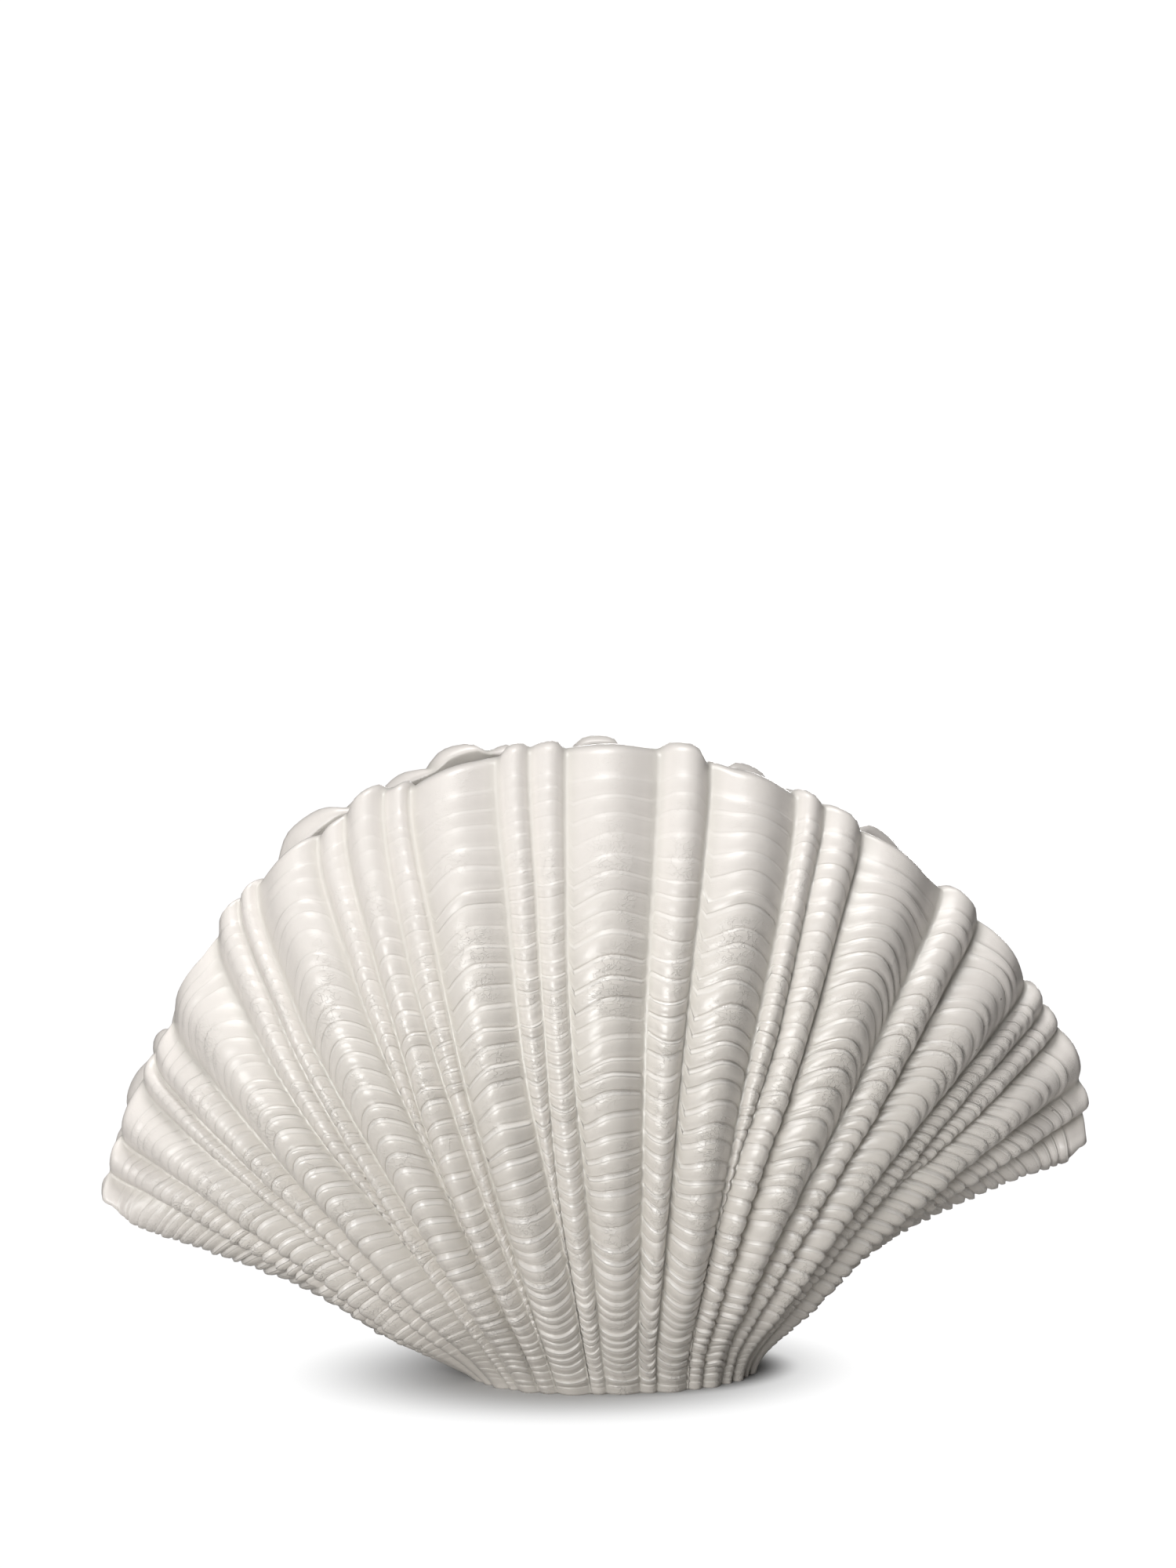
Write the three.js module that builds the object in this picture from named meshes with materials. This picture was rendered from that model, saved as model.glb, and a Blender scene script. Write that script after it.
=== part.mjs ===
// A ceramic vase cast in one piece in the form of two fluted scallop shells, one in front and one behind, that
// meet at two rounded tips. It stands on a small oval foot and opens along the top in a long slit.
// Millimetres, +Z up, +X along the vase and -Y towards its front. The origin is on the table under the middle.
import * as THREE from 'three';

// Driving dimensions
const RIM_HEIGHT = 219;
const WALL = 5;
const RIM_WALL = 10;
const RIM_WALL_FROM = 0.85;
const FLOOR = 9;
const LIP_ROUNDNESS = 0.25;
const NOSE_ROUND = 7;
const NOSE_CLIMB = 0.035;
const ROLL_START = 0.93;
const ROLL_MIDDLE = 0.97;
const ROLL_IN = 2.5;
const FOOT_RING = 9;
const FOOT_RECESS = 2.5;
const RECESS_SLOPE = 2;

// Six oval sections, evenly spaced from the foot to the rim: half length, half depth and the height of the two ends
const HALF_LENGTH = [49, 67, 93.5, 121.5, 147.5, 170];
const HALF_DEPTH = [34, 60, 68, 62, 43, 18];
const END_HEIGHT = [0, 15.5, 38, 53.5, 65, 72.5];

// The hand-made body leans a little: the right tip stands higher, the foot sits to the right, the belly to the left
const TIP_TILT = 7;
const FOOT_SHIFT = 4;
const BELLY_SHIFT = -6;

// Exponents of the oval sections at the foot and at the rim: along the vase, across it and up its curved rim
const LENGTH_POWER = [0.84, 0.935];
const DEPTH_POWER = [0.95, 0.65];
const RIM_POWER = 1.3;
const CLOSING_POWER = 0.6;
const CLOSING_FROM = 0.8;

// Towards the two tips the slit closes: from and by this share of the half length
const CLOSED_FROM = 0.8;
const CLOSED_BY = 0.93;
const SLIT_LEFT = 0.15;

// Ribs as [width in degrees around the section, rise of the rib's end above the rim, climb below which it is gone].
// The front face's run from the right tip to the left, the back face's from the left tip to the right
const FRONT_RIBS = [
  [6.1, 3, 0], [9.6, 3.5, 0], [4.3, 2.5, 0.45], [4.4, 1.5, 0], [10.7, -1.5, 0], [6.5, -0.5, 0], [12.3, -5.5, 0],
  [5.2, -3, 0], [3.7, -2.5, 0.32], [10.8, -4.5, 0], [5.7, 1.5, 0], [9.2, -1, 0], [3.7, 2, 0], [3.5, 3, 0.27],
  [10.2, 0, 0], [3.5, 3, 0.12], [4.8, 7, 0], [3.6, 3.5, 0.42], [9.3, 4.5, 0], [3.0, 7, 0], [4.1, 7, 0.3],
  [9.8, 1, 0], [5.5, -2.5, 0], [3.4, -1.5, 0.2], [8.8, -2, 0], [6.6, -1, 0],
];
const BACK_RIBS = [
  [8.2, -3, 0], [9.2, -2, 0], [4.0, -2, 0.3], [9.4, -6, 0], [5.0, -5, 0], [7.4, -3.5, 0], [10.0, 5.5, 0],
  [4.5, 1.5, 0.3], [6.0, 0.5, 0], [7.3, 3, 0], [3.8, -1, 0.25], [5.5, -6, 0], [5.8, -1.5, 0], [10.7, -8, 0],
  [6.5, -4.5, 0], [7.0, -7, 0], [4.0, -7.5, 0.35], [7.6, -3.5, 0], [4.3, -5, 0.3], [9.6, -4.5, 0],
  [5.2, -2.5, 0], [4.2, -1, 0.3], [9.4, 0, 0], [10.1, 2, 0],
];
const TIP_RIB = [13.5, 0, 0];
const FRONT_FROM = 5.5;
const FRONT_TO = 173.8;

// A rib that dies out keeps this share of its width, and fades over this much climb
const LEAST_SHARE = 0.07;
const FADE_BELOW = 0.05;
const FADE_LENGTH = 0.33;

// Rib relief: the crown grows with the rib's width, is lower near the foot, and leans a little to one side
const CROWN_LEAST = 1.4;
const CROWN_PER_DEGREE = 0.52;
const WIDEST_CROWN = 11;
const CROWN_ROUND = 0.7;
const TROUGH = 0.16;
const SKEW_MEAN = 1.02;
const SKEW_RANGE = 0.17;
const SKEW_STEP = 2.4;
const CROWN_AT_FOOT = 0.35;
const FULL_CROWN_FROM = 0.35;
const FOOT_BLEND = 0.25;
const TIP_CROWN_LOW = 0.5;
const TIP_CROWN_FROM = 0.3;
const TIP_CROWN_BY = 0.9;
const INSIDE_RELIEF = 0.2;

// The rises of the rib ends: where they begin, how they blend to the valleys, and how deep the valleys are nicked
const RISE_FROM = 0.72;
const RISE_BLEND = 0.3;
const NOTCH = 0.8;

const NARROW_RIB = 4.6;
const MIDDLING_RIB = 7;
const BROAD_RIB = 12;

// Growth ledges: swollen bands across the ribs, closer together near the foot
const LEDGES = 9;
const LEDGE_CROWDING = 1.2;
const LEDGE_RELIEF = 0.7;

const GLAZE_COLOUR = 0xe3ddd3;

const lerp = THREE.MathUtils.lerp;
const smoothstep = THREE.MathUtils.smoothstep;

// A smooth curve through evenly spaced values
function through(values) {
  const points = values.map((value, index) => new THREE.Vector2(index, value));
  const curve = new THREE.SplineCurve(points);
  return (climb) => curve.getPoint(climb).y;
}

const halfLength = through(HALF_LENGTH);
const halfDepth = through(HALF_DEPTH);
const endHeight = through(END_HEIGHT);

function signedPower(value, power) {
  return Math.sign(value) * Math.abs(value) ** power;
}

// A point of the smooth body under the ribs: turn runs round the section from the right tip over the front,
// climb from 0 at the foot to 1 at the rim, and inset moves the surface inwards by a wall
function bodyPoint(turn, climb, inset = 0) {
  const along = signedPower(Math.cos(turn), lerp(...LENGTH_POWER, climb));
  const closing = CLOSING_POWER * smoothstep(climb, CLOSING_FROM, 1);
  const across = signedPower(Math.sin(turn), lerp(...DEPTH_POWER, climb) + closing);
  const rise = Math.abs(Math.sin(turn)) ** RIM_POWER;
  const shift = FOOT_SHIFT * (1 - climb) ** 4 + BELLY_SHIFT * 4 * climb * (1 - climb);
  const tip = endHeight(climb) + TIP_TILT * climb * Math.cos(turn);
  return new THREE.Vector3(
    (halfLength(climb) - inset) * along + shift,
    -(halfDepth(climb) - inset) * across,
    lerp(tip, RIM_HEIGHT * climb, rise),
  );
}

// The outward direction of the smooth body, from two short steps along it
function bodyNormal(turn, climb) {
  const step = 0.01;
  const low = Math.max(climb - step, 0);
  const high = Math.min(climb + step, 1);
  const round = bodyPoint(turn + step, climb).sub(bodyPoint(turn - step, climb));
  const upward = bodyPoint(turn, high).sub(bodyPoint(turn, low));
  return upward.cross(round).normalize();
}

// One face's ribs, laid from one turn to another along the rim
function ribRow(ribs, from, to, isTip) {
  const total = ribs.reduce((sum, [width]) => sum + width, 0);
  let start = from;
  return ribs.map(([width, rise, gone]) => {
    const step = (width / total) * (to - from);
    const rib = { start, middle: start + step / 2, end: start + step, rise, gone, isTip, width };
    start += step;
    return rib;
  });
}

const backFrom = FRONT_TO + TIP_RIB[0];
const backTo = 360 + FRONT_FROM - TIP_RIB[0];
const allRibs = [
  ...ribRow(FRONT_RIBS, FRONT_FROM, FRONT_TO, false),
  ...ribRow([TIP_RIB], FRONT_TO, backFrom, true),
  ...ribRow(BACK_RIBS, backFrom, backTo, false),
  ...ribRow([TIP_RIB], backTo, 360 + FRONT_FROM, true),
];

// The share of its rim width that a rib still has at a climb
function ribShare(rib, climb) {
  if (rib.gone === 0) return 1;
  return lerp(LEAST_SHARE, 1, smoothstep(climb, rib.gone - FADE_BELOW, rib.gone + FADE_LENGTH));
}

// The turn of a rib's first edge and of its last: a fading rib draws both towards its own middle
function ribEdges(index, climb) {
  const rib = allRibs[index];
  const before = allRibs.at(index - 1);
  const after = allRibs[(index + 1) % allRibs.length];
  const own = 1 - ribShare(rib, climb);
  const pullBefore = ((before.start - before.end) / 2) * (1 - ribShare(before, climb));
  const pullAfter = ((after.end - after.start) / 2) * (1 - ribShare(after, climb));
  return [
    rib.start + (rib.middle - rib.start) * own + pullBefore,
    rib.end + (rib.middle - rib.end) * own + pullAfter,
  ];
}

function stripsAcross(width) {
  if (width < NARROW_RIB) return 2;
  if (width < MIDDLING_RIB) return 3;
  return width < BROAD_RIB ? 4 : 5;
}

// The cross-section of a rib, 0 in the valleys and 1 on the crown: an arch that leans to one side, rounded below
function ribBulge(across, skew) {
  const sine = Math.sin(Math.PI * across ** skew);
  const rounded = Math.hypot(sine, TROUGH) - TROUGH;
  return Math.max(rounded / (Math.hypot(1, TROUGH) - TROUGH), 0) ** CROWN_ROUND;
}

// The columns of points that run up every rib, each with what it needs to place its points
function allColumns() {
  const columns = [];
  allRibs.forEach((rib, index) => {
    const strips = stripsAcross(rib.width);
    const skew = SKEW_MEAN + SKEW_RANGE * Math.sin(SKEW_STEP * index);
    for (let strip = 0; strip < strips; strip += 1) {
      const across = strip / strips;
      const turn = THREE.MathUtils.degToRad(lerp(rib.start, rib.end, across));
      const neighbour = across < 0.5 ? allRibs.at(index - 1) : allRibs[(index + 1) % allRibs.length];
      const shared = (rib.rise + neighbour.rise) / 2 - NOTCH;
      const ownShare = smoothstep(Math.min(across, 1 - across), 0, RISE_BLEND);
      columns.push({
        index,
        across,
        turn,
        bulge: ribBulge(across, skew),
        rise: lerp(shared, rib.rise, ownShare),
        closed: smoothstep(Math.abs(Math.cos(turn)), CLOSED_FROM, CLOSED_BY),
        upward: bodyPoint(turn, 1).sub(bodyPoint(turn, 0.97)).normalize(),
      });
    }
  });
  return columns;
}

// A point of the fluted surface: the smooth body, raised by its rib and by the growth ledge. The relief is level
// at the foot, so nothing dips below it, the outside rolls inwards at the rim, and each rib's end has its own rise.
// The inside is nearly smooth, thickens to the rim and closes the slit towards the tips
function flutedPoint(column, climb, swell, isInside) {
  const rib = allRibs[column.index];
  const [left, right] = ribEdges(column.index, climb);
  const turn = THREE.MathUtils.degToRad(lerp(left, right, column.across));
  const fullCrown = CROWN_LEAST * ribShare(rib, climb) + CROWN_PER_DEGREE * Math.min(right - left, WIDEST_CROWN);
  const tipShare = lerp(TIP_CROWN_LOW, 1, smoothstep(climb, TIP_CROWN_FROM, TIP_CROWN_BY));
  const crown = fullCrown * (rib.isTip ? tipShare : 1);
  const share = lerp(CROWN_AT_FOOT, 1, smoothstep(climb, 0, FULL_CROWN_FROM));
  const shut = column.closed * smoothstep(climb, 0.88, 0.965);
  const thick = smoothstep(climb, RIM_WALL_FROM, 1) * (1 - column.closed);
  const roll = ROLL_IN * (Math.max(climb - ROLL_START, 0) / (1 - ROLL_START)) ** 2;
  const wave = (1 - Math.cos(2 * Math.PI * column.across)) / 2;
  const outsideRelief = (crown * column.bulge + swell * LEDGE_RELIEF) * share - roll;
  const insideRelief = crown * wave * INSIDE_RELIEF * climb * (1 - shut);
  const outward = bodyNormal(turn, climb);
  outward.z *= smoothstep(climb, 0, FOOT_BLEND);
  const point = bodyPoint(turn, climb, isInside ? lerp(WALL, RIM_WALL, thick) : 0);
  if (isInside) point.y *= lerp(1, SLIT_LEFT, shut);
  point.addScaledVector(outward, isInside ? insideRelief : outsideRelief);
  return point.addScaledVector(column.upward, column.rise * smoothstep(climb, RISE_FROM, 1));
}

// The rim dips a little where the tips close
function lowered(column, climb) {
  return climb * (1 - NOSE_CLIMB * column.closed);
}

// The outside runs from the foot through each ledge's groove and swell, then over the roll to the rim
function outsideLoops(columns) {
  const loops = [];
  for (let half = 0; half <= 2 * LEDGES; half += 1) {
    const climb = ROLL_START * (half / (2 * LEDGES)) ** LEDGE_CROWDING;
    const groove = half % 2 === 0 ? -1 : 1;
    const swell = half === 0 ? 0 : groove;
    loops.push(columns.map((column) => flutedPoint(column, lowered(column, climb), swell, false)));
  }
  for (const climb of [ROLL_MIDDLE, 1]) {
    loops.push(columns.map((column) => flutedPoint(column, lowered(column, climb), 0, false)));
  }
  loops[0].forEach((point) => { point.z = 0; });
  return loops;
}

// The lip is a rounded edge between the outside and the inside, and a rounded nose where the tips close
function lipLoop(columns) {
  return columns.map((column) => {
    const outer = flutedPoint(column, lowered(column, 1), 0, false);
    const inner = flutedPoint(column, lowered(column, 1), 0, true);
    const nose = lerp(LIP_ROUNDNESS * outer.distanceTo(inner), NOSE_ROUND, column.closed);
    const angle = (Math.PI / 2) * lerp(1, 0.5, column.closed);
    const middle = outer.clone().lerp(inner, lerp(0.5, 1, column.closed));
    const reach = outer.sub(middle);
    return middle.addScaledVector(reach, Math.cos(angle)).addScaledVector(column.upward, Math.sin(angle) * nose);
  });
}

// The inside follows the outside at one wall's distance, above a level floor
function insideLoops(columns) {
  const climbs = [1, 0.9, 0.7, 0.4, 0.12];
  return climbs.map((climb) => columns.map((column) => {
    const point = flutedPoint(column, lowered(column, climb), 0, true);
    if (climb === 1) point.addScaledVector(column.upward, NOSE_ROUND * column.closed ** 2);
    const lift = Math.max(-bodyNormal(column.turn, climb).z, 0) * WALL;
    point.z = Math.max(point.z + lift, FLOOR);
    return point;
  }));
}

// A flat oval loop under the foot or on the floor, drawn in from the foot's outline
function ovalLoop(columns, inset, height) {
  return columns.map((column) => bodyPoint(column.turn, 0, inset).setZ(height));
}

// Joins the loops, from the first one's middle to the last one's, into one closed skin
function skin(loops, firstMiddle, lastMiddle) {
  const count = loops[0].length;
  const points = [...loops.flat(), firstMiddle, lastMiddle];
  const first = points.length - 2;
  const last = points.length - 1;
  const lastLoop = (loops.length - 1) * count;
  const triangles = [];
  for (let column = 0; column < count; column += 1) {
    const next = (column + 1) % count;
    triangles.push(first, column, next);
    for (let loop = 0; loop < loops.length - 1; loop += 1) {
      const low = loop * count;
      const high = low + count;
      triangles.push(low + column, high + column, high + next);
      triangles.push(low + column, high + next, low + next);
    }
    triangles.push(last, lastLoop + next, lastLoop + column);
  }
  const geometry = new THREE.BufferGeometry();
  geometry.setFromPoints(points);
  geometry.setIndex(triangles);
  geometry.computeVertexNormals();
  return geometry;
}

function shellVase() {
  const columns = allColumns();
  const inside = insideLoops(columns);
  const loops = [
    ovalLoop(columns, FOOT_RING + RECESS_SLOPE, FOOT_RECESS),
    ovalLoop(columns, FOOT_RING, 0),
    ...outsideLoops(columns),
    lipLoop(columns),
    ...inside,
    ovalLoop(columns, FOOT_RING, FLOOR),
  ];
  const underMiddle = new THREE.Vector3(FOOT_SHIFT, 0, FOOT_RECESS);
  const floorMiddle = new THREE.Vector3(FOOT_SHIFT, 0, FLOOR);
  const geometry = skin(loops, underMiddle, floorMiddle);
  const glaze = new THREE.MeshStandardMaterial({ color: GLAZE_COLOUR, roughness: 0.35, metalness: 0 });
  const mesh = new THREE.Mesh(geometry, glaze);
  mesh.name = 'shell_vase';
  geometry.computeBoundingBox();
  const middle = geometry.boundingBox.getCenter(new THREE.Vector3());
  mesh.position.set(-middle.x, -middle.y, 0);
  return mesh;
}

const vase = new THREE.Group();
vase.add(shellVase());

export default vase;
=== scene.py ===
# %% [markdown]
# # A ceramic vase in the form of two scallop shells
# The real object is one hollow casting of white clay under a satin glaze. Two fluted shells, one in front
# and one behind, meet at two rounded tips, stand on a small oval foot and open along the top in a long
# slit. It could be sculpted by hand, or displaced by a texture. Here it is one surface worked out with
# numpy, because each rib and each growth ledge then has its own measured place, and the same few formulas
# make all of them.

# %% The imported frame
import bpy
import numpy as np
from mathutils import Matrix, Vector


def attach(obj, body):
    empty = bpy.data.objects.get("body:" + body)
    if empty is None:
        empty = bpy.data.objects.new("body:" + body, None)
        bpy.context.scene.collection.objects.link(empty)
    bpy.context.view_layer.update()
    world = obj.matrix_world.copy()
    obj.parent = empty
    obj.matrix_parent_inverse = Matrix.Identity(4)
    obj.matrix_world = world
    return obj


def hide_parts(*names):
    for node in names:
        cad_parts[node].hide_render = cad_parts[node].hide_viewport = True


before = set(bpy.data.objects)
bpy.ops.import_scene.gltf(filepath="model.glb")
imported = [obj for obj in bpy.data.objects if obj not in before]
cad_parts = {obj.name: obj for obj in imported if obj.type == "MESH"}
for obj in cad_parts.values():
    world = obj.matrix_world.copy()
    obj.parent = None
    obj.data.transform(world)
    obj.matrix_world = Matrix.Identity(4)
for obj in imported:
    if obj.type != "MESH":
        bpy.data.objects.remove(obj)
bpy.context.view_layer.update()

# %% [markdown]
# ## The camera
# A camera is placed by where it looks, from which side and height, and from how far. These numbers were
# found by matching the valleys between the ribs. The object sits low in the photograph, so the picture is
# shifted up, as with a view camera, rather than tilted: the upright lines then stay upright.

# %% Camera at the photograph's angle
IMAGE_WIDTH, IMAGE_HEIGHT = 1500, 2000
SENSOR = 36.0
CAMERA_TURN, CAMERA_RISE = np.radians(-6.75), np.radians(11.07)
CAMERA_DISTANCE = 1.861
FOCUS_HEIGHT = 0.1104
PIXELS_PER_METRE = 3700.0
FOCUS_PIXEL = (765.3, 1350.1)

camera_data = bpy.data.cameras.new("photo_camera")
camera = bpy.data.objects.new("photo_camera", camera_data)
bpy.context.scene.collection.objects.link(camera)
bpy.context.scene.camera = camera
toward_camera = np.array([
    np.sin(CAMERA_TURN) * np.cos(CAMERA_RISE),
    -np.cos(CAMERA_TURN) * np.cos(CAMERA_RISE),
    np.sin(CAMERA_RISE),
])
camera.location = Vector((0, 0, FOCUS_HEIGHT)) + Vector(toward_camera * CAMERA_DISTANCE)
camera.rotation_euler = Vector(toward_camera).to_track_quat("Z", "Y").to_euler()
camera_data.sensor_width = SENSOR
camera_data.lens = PIXELS_PER_METRE * CAMERA_DISTANCE * SENSOR / IMAGE_HEIGHT
camera_data.shift_x = (IMAGE_WIDTH / 2 - FOCUS_PIXEL[0]) / IMAGE_HEIGHT
camera_data.shift_y = (FOCUS_PIXEL[1] - IMAGE_HEIGHT / 2) / IMAGE_HEIGHT
print("lens in mm:", round(camera_data.lens, 1))

# %% [markdown]
# ## The body under the ribs
# Each half is a bowl that widens from the foot and closes again towards the slit. It could be a subdivided
# cage, but then the ribs would have nothing exact to stand on. Here six oval sections say how long, how
# deep and how high at its two ends the body is, and a smooth curve runs through them. A point is named by
# its turn round the oval and its climb from the foot (0) to the rim (1).

# %% Sections of the body, in millimetres
HALF_LENGTH = [49, 67, 93.5, 121.5, 147.5, 170]
HALF_DEPTH = [34, 60, 68, 62, 43, 18]
END_HEIGHT = [0, 15.5, 38, 53.5, 65, 72.5]
RIM_HEIGHT = 219.0
print("sections:", len(HALF_LENGTH), "widest at the rim:", 2 * HALF_LENGTH[-1], "mm")


# %% Helpers for blends and smooth curves
def between(low, high, share):
    """The value that lies the given share of the way from low to high."""
    return low + (high - low) * share


def soft_step(value, start, end):
    """0 below start and 1 above end, with a smooth S between: 3t^2 - 2t^3."""
    share = np.clip((value - start) / (end - start), 0, 1)
    return share * share * (3 - 2 * share)


def through(values, climb):
    """A Catmull-Rom curve through evenly spaced values, its ends doubled, read at climbs from 0 to 1."""
    knots = np.array([values[0], *values, values[-1]], float)
    place = np.clip(climb, 0, 1) * (len(values) - 1)
    index = np.minimum(place.astype(int), len(values) - 2)
    step = place - index
    a, b, c, d = (knots[index + offset] for offset in range(4))
    cubic = (3 * b - a - 3 * c + d) * step ** 3 + (2 * a - 5 * b + 4 * c - d) * step ** 2
    return 0.5 * (cubic + (c - a) * step + 2 * b)


def signed_power(value, power):
    """The power of a value's size, with the value's own sign."""
    return np.sign(value) * np.abs(value) ** power


print("half length halfway up:", through(HALF_LENGTH, np.array([0.5]))[0].round(1), "mm")

# %% The smooth body, with the lean of a thing made by hand
TIP_TILT = 7.0
FOOT_SHIFT, BELLY_SHIFT = 4.0, -6.0
LENGTH_POWER, DEPTH_POWER = (0.84, 0.935), (0.95, 0.65)
RIM_POWER = 1.3
CLOSING_POWER, CLOSING_FROM = 0.6, 0.8


def body_point(turn, climb, inset=0.0):
    """The smooth body: x and y on a rounded oval, z between the low ends and the arched rim.

    x = (half length - inset) * cos^p, y = -(half depth - inset) * sin^q, and z goes from the end height at
    the tips to climb * rim height at the middle, by |sin|^1.3. The right tip stands a little higher, the
    foot sits to the right and the belly to the left.
    """
    cosine, sine = np.cos(turn), np.sin(turn)
    along = signed_power(cosine, between(*LENGTH_POWER, climb))
    closing = CLOSING_POWER * soft_step(climb, CLOSING_FROM, 1)
    across = signed_power(sine, between(*DEPTH_POWER, climb) + closing)
    shift = FOOT_SHIFT * (1 - climb) ** 4 + BELLY_SHIFT * 4 * climb * (1 - climb)
    tip = through(END_HEIGHT, climb) + TIP_TILT * climb * cosine
    return np.stack([
        (through(HALF_LENGTH, climb) - inset) * along + shift,
        -(through(HALF_DEPTH, climb) - inset) * across,
        between(tip, RIM_HEIGHT * climb, np.abs(sine) ** RIM_POWER),
    ], axis=-1)


def body_normal(turn, climb, step=0.01):
    """The outward direction: the cross product of a short step up the body and a short step round it."""
    around = body_point(turn + step, climb) - body_point(turn - step, climb)
    upward = body_point(turn, np.minimum(climb + step, 1)) - body_point(turn, np.maximum(climb - step, 0))
    outward = np.cross(upward, around)
    return outward / np.linalg.norm(outward, axis=-1, keepdims=True)


print("top of the front rim:", body_point(np.array([np.pi / 2]), np.array([1.0]))[0].round(1), "mm")

# %% [markdown]
# ## The ribs
# The ribs fan from the foot to the rim. Broad and narrow ones alternate without a pattern, and a few narrow
# ones die out on the way down. A repeating wave would look stamped, so one list holds a row for each rib:
# its width in degrees of turn at the rim, how far its end stands above the rim in millimetres, and the
# climb below which it is gone. The front list follows the photograph. Only the lip of the back shows there,
# so its list is a good guess.

# %% Rib lists, the front from the right tip to the left and the back from the left tip to the right
FRONT_RIBS = [
    (6.1, 3, 0), (9.6, 3.5, 0), (4.3, 2.5, .45), (4.4, 1.5, 0), (10.7, -1.5, 0), (6.5, -.5, 0),
    (12.3, -5.5, 0), (5.2, -3, 0), (3.7, -2.5, .32), (10.8, -4.5, 0), (5.7, 1.5, 0), (9.2, -1, 0),
    (3.7, 2, 0), (3.5, 3, .27), (10.2, 0, 0), (3.5, 3, .12), (4.8, 7, 0), (3.6, 3.5, .42),
    (9.3, 4.5, 0), (3.0, 7, 0), (4.1, 7, .3), (9.8, 1, 0), (5.5, -2.5, 0), (3.4, -1.5, .2),
    (8.8, -2, 0), (6.6, -1, 0),
]
BACK_RIBS = [
    (8.2, -3, 0), (9.2, -2, 0), (4.0, -2, .3), (9.4, -6, 0), (5.0, -5, 0), (7.4, -3.5, 0), (10.0, 5.5, 0),
    (4.5, 1.5, .3), (6.0, .5, 0), (7.3, 3, 0), (3.8, -1, .25), (5.5, -6, 0), (5.8, -1.5, 0), (10.7, -8, 0),
    (6.5, -4.5, 0), (7.0, -7, 0), (4.0, -7.5, .35), (7.6, -3.5, 0), (4.3, -5, .3), (9.6, -4.5, 0),
    (5.2, -2.5, 0), (4.2, -1, .3), (9.4, 0, 0), (10.1, 2, 0),
]
TIP_RIB = (13.5, 0, 0)
ribs = [*FRONT_RIBS, TIP_RIB, *BACK_RIBS, TIP_RIB]
rib_count = len(ribs)
print("ribs in front:", len(FRONT_RIBS), "at the back:", len(BACK_RIBS), "and one at each tip")

# %% Turns of the ribs at the rim
FRONT_FROM, FRONT_TO = 5.5, 173.8
BACK_FROM, BACK_TO = FRONT_TO + TIP_RIB[0], 360 + FRONT_FROM - TIP_RIB[0]


def spread(row, start, end):
    """The start of each rib in degrees: the running sum of the widths, stretched from start to end."""
    widths = np.array([rib[0] for rib in row])
    before = np.concatenate([[0], np.cumsum(widths)[:-1]])
    return start + before / widths.sum() * (end - start)


rib_start = np.radians(np.concatenate([
    spread(FRONT_RIBS, FRONT_FROM, FRONT_TO), [FRONT_TO],
    spread(BACK_RIBS, BACK_FROM, BACK_TO), [BACK_TO, 360 + FRONT_FROM],
]))
rib_middle = (rib_start[:-1] + rib_start[1:]) / 2
rib_width = np.degrees(np.diff(rib_start))
rib_rise = np.array([rib[1] for rib in ribs], float)
rib_gone = np.array([rib[2] for rib in ribs], float)
print("ribs:", rib_count, "from", rib_width.min().round(1), "to", rib_width.max().round(1), "degrees wide")

# %% [markdown]
# A rib that dies out draws its two valleys together, and its neighbours widen into the room. So a valley's
# turn is its turn at the rim, pulled towards the middle of whichever neighbour is fading. A slow waver of a
# fifth of a degree keeps the valleys from looking ruled.

# %% Valleys that close over a fading rib
FADE_BELOW, FADE_LENGTH = 0.05, 0.33
LEAST_SHARE = 0.07
VALLEY_WOBBLE, WOBBLE_WAVES = np.radians(0.22), 1.6
chance = np.random.default_rng(7)
wobble_start = chance.uniform(0, 2 * np.pi, rib_count)


def rib_share(index, climb):
    """The share of its rim width that a rib still has: 1 above its fade, nearly nothing below it."""
    gone = rib_gone[index]
    share = between(LEAST_SHARE, 1, soft_step(climb, gone - FADE_BELOW, gone + FADE_LENGTH))
    return np.where(gone > 0, share, 1.0)


def valley_turn(index, climb):
    """The turn of the valley before a rib: its rim turn, plus the pull of fading ribs and a slow sine."""
    before, after = (index - 1) % rib_count, index % rib_count
    line = rib_start[index]
    wrap = np.where(index == 0, 2 * np.pi, 0.0)
    pull_before = (rib_middle[before] - wrap - line) * (1 - rib_share(before, climb))
    wrap = np.where(index == rib_count, 2 * np.pi, 0.0)
    pull_after = (rib_middle[after] + wrap - line) * (1 - rib_share(after, climb))
    wobble = VALLEY_WOBBLE * np.sin(2 * np.pi * WOBBLE_WAVES * climb + wobble_start[after])
    return line + pull_before + pull_after + wobble


print("ribs that die out:", int((rib_gone > 0).sum()))

# %% [markdown]
# Columns of points run up each rib. Even columns would cut the valleys off, so they stand closer there,
# where the surface bends most.

# %% Columns across the ribs
NARROW, MIDDLING = 4.4, 7.4
NARROW_STRIPS, MIDDLING_STRIPS, BROAD_STRIPS = 7, 10, 14
CROWDING = 0.6

column_rib, column_across = [], []
for number, width in enumerate(rib_width):
    strips = NARROW_STRIPS if width <= NARROW else (MIDDLING_STRIPS if width < MIDDLING else BROAD_STRIPS)
    even = np.arange(strips) / strips
    column_across.append(between(even, (1 - np.cos(np.pi * even)) / 2, CROWDING))
    column_rib.append(np.full(strips, number))
column_rib, column_across = np.concatenate(column_rib), np.concatenate(column_across)
column_count = len(column_rib)
column_turn = between(rib_start[column_rib], rib_start[column_rib + 1], column_across)
edge_gap = np.minimum(column_across, 1 - column_across)
broad = rib_width[column_rib] > MIDDLING
print("columns:", column_count)

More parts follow.
